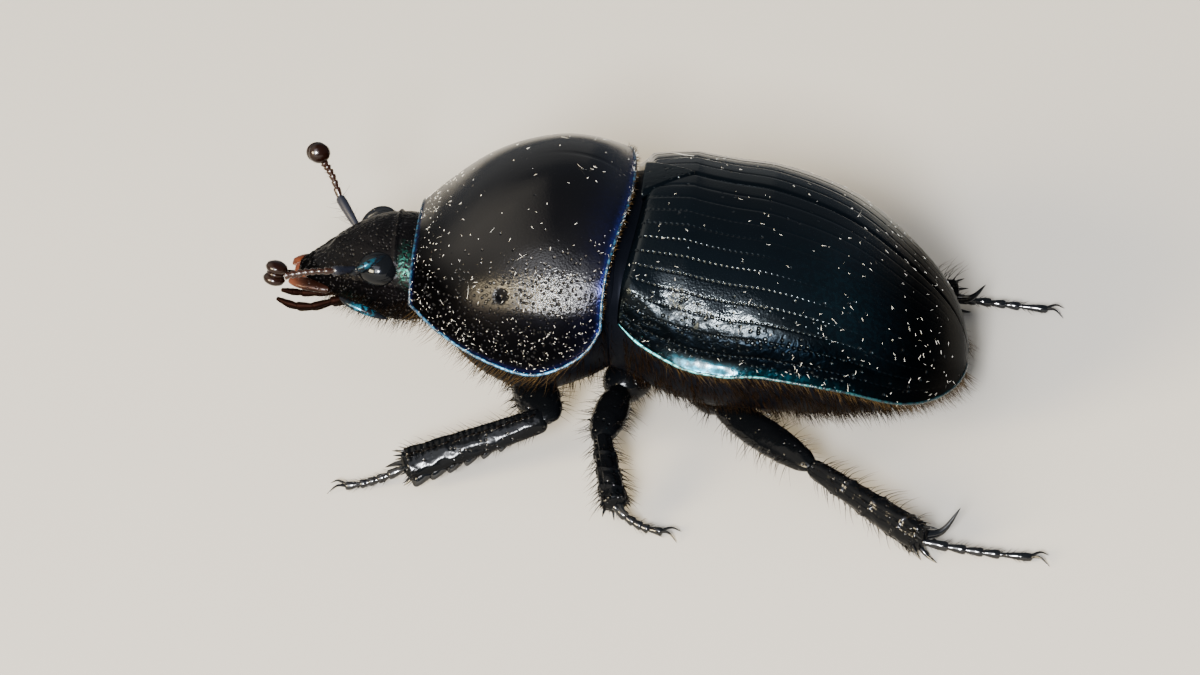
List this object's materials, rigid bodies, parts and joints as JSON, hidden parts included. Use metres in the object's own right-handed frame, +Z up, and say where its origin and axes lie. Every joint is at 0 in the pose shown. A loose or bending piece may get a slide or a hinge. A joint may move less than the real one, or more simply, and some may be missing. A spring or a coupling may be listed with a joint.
{
  "type": "dung beetle",
  "caption": "Standing dung beetle with a smooth domed pronotum, grooved wing cases, clubbed antennae and spiny digging legs: a still, life-size museum-type model of the insect.",
  "frame": {"origin": "on the floor, under the middle of the box around the whole insect with its legs and antennae", "axes": "-X towards the head, +X towards the wing tips, -Y towards the insect's own left side, +Z up"},
  "size_m": [0.0214, 0.0174, 0.0078],
  "materials": {
    "pronotum_chitin": "smooth blue-black chitin with a soft gloss, violet-blue at the rims",
    "wing_case_chitin": "glossy blue-black chitin with fine punctured grooves",
    "head_chitin": "rough, finely pitted grey-black chitin",
    "eye_lens": "glassy grey-brown compound eye",
    "underside_chitin": "blue-black chitin under brown hair",
    "leg_chitin": "glossy black chitin with a blue-green sheen and dark bristles",
    "feeler_chitin": "red-brown chitin, satin",
    "mouth_chitin": "dark red-brown chitin, glossy"
  },
  "bodies": {
    "root": {"pronotum": "pronotum_chitin", "scutellum": "wing_case_chitin", "left_elytron": "wing_case_chitin", "right_elytron": "wing_case_chitin", "prosternum": "underside_chitin", "thorax": "underside_chitin", "abdomen": "underside_chitin", "head": "head_chitin", "labrum": "mouth_chitin", "left_antenna": "feeler_chitin", "left_antenna_club": "feeler_chitin", "left_eye": "eye_lens", "left_fore_coxa": "leg_chitin", "left_fore_femur": "leg_chitin", "left_fore_tarsus": "leg_chitin", "left_fore_tibia": "leg_chitin", "left_hind_coxa": "leg_chitin", "left_hind_femur": "leg_chitin", "left_hind_tarsus": "leg_chitin", "left_hind_tibia": "leg_chitin", "left_labial_palp": "mouth_chitin", "left_mandible": "mouth_chitin", "left_maxillary_palp": "mouth_chitin", "left_mid_coxa": "leg_chitin", "left_mid_femur": "leg_chitin", "left_mid_tarsus": "leg_chitin", "left_mid_tibia": "leg_chitin", "right_antenna": "feeler_chitin", "right_antenna_club": "feeler_chitin", "right_eye": "eye_lens", "right_fore_coxa": "leg_chitin", "right_fore_femur": "leg_chitin", "right_fore_tarsus": "leg_chitin", "right_fore_tibia": "leg_chitin", "right_hind_coxa": "leg_chitin", "right_hind_femur": "leg_chitin", "right_hind_tarsus": "leg_chitin", "right_hind_tibia": "leg_chitin", "right_labial_palp": "mouth_chitin", "right_mandible": "mouth_chitin", "right_maxillary_palp": "mouth_chitin", "right_mid_coxa": "leg_chitin", "right_mid_femur": "leg_chitin", "right_mid_tarsus": "leg_chitin", "right_mid_tibia": "leg_chitin"}
  },
  "joints": []
}
